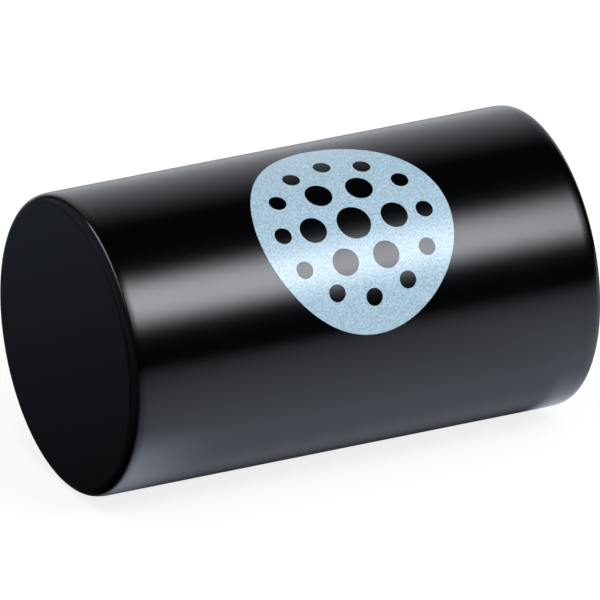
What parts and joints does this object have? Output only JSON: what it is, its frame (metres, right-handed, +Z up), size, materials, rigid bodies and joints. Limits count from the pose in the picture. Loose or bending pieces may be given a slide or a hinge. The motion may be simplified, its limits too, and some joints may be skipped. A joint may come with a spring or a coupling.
{
  "type": "ganza shaker",
  "caption": "Small cylinder shaker: a black coated metal tube with plugged ends, a metallic printed disc on its side and loose steel shot inside.",
  "frame": {"origin": "on the surface that the tube lies on, under the middle of its length", "axes": "+X along the tube from the front end to the rear end, +Z up with the tube lying on its side, -Y towards the side that carries the print"},
  "size_m": [0.0814, 0.0476, 0.0477],
  "materials": {
    "black_coat": "satin black coat over aluminium",
    "adhesive": "gloss",
    "metallic_ink": "satin metallic ink",
    "steel_shot": "polished"
  },
  "bodies": {
    "shell": {"tube_shell": "black_coat", "front_end_plug": "black_coat", "rear_end_plug": "black_coat", "front_bond_ring": "adhesive", "rear_bond_ring": "adhesive", "printed_disc": "metallic_ink"},
    "lead_shot": {"shot_lead": "steel_shot"},
    "heap_shot": {"shot_heap": "steel_shot"},
    "front_shot": {"shot_front": "steel_shot"},
    "rear_shot": {"shot_rear": "steel_shot"}
  },
  "joints": [
    {"name": "shot_run", "type": "slide", "parent": "shell", "child": "lead_shot", "axis": [1, 0, 0], "range_m": [-0.0081, 0.0081]},
    {"name": "shot_swirl", "type": "hinge", "parent": "lead_shot", "child": "heap_shot", "pos_m": [0, 0, 0.02385], "axis": [1, 0, 0], "continuous": true},
    {"name": "front_scatter", "type": "slide", "parent": "heap_shot", "child": "front_shot", "axis": [1, 0, 0], "range_m": [-0.006, 0]},
    {"name": "rear_scatter", "type": "slide", "parent": "heap_shot", "child": "rear_shot", "axis": [1, 0, 0], "range_m": [0, 0.006]}
  ]
}
